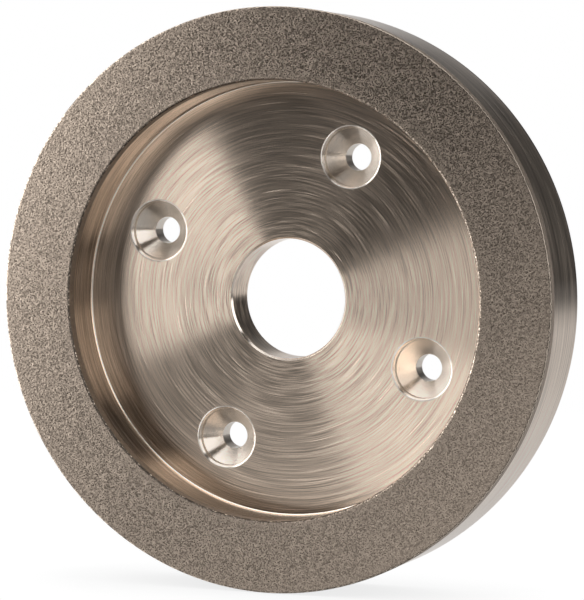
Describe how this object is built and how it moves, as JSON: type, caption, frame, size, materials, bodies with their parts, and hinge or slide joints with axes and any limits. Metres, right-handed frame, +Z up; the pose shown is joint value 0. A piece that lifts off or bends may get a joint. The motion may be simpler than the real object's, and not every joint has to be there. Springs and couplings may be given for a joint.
{
  "type": "diamond grinding wheel",
  "caption": "Bowl-shaped plated diamond grinding wheel with a flat abrasive rim, a recessed floor, a central bore and countersunk screw holes.",
  "frame": {"origin": "on the wheel's axis, halfway through its thickness, which is the centre of its box", "axes": "the wheel stands upright: +Y along the axis from the abrasive rim to the back face, +Z up, +X to the right seen from the rim side"},
  "size_m": [0.1524, 0.0254, 0.1524],
  "materials": {
    "turned_steel": "satin",
    "nickel_plate": "satin",
    "diamond_abrasive": "matte"
  },
  "bodies": {
    "root": {"steel_core": "turned_steel", "nickel_bond": "nickel_plate", "diamond_grit": "diamond_abrasive"}
  },
  "joints": []
}
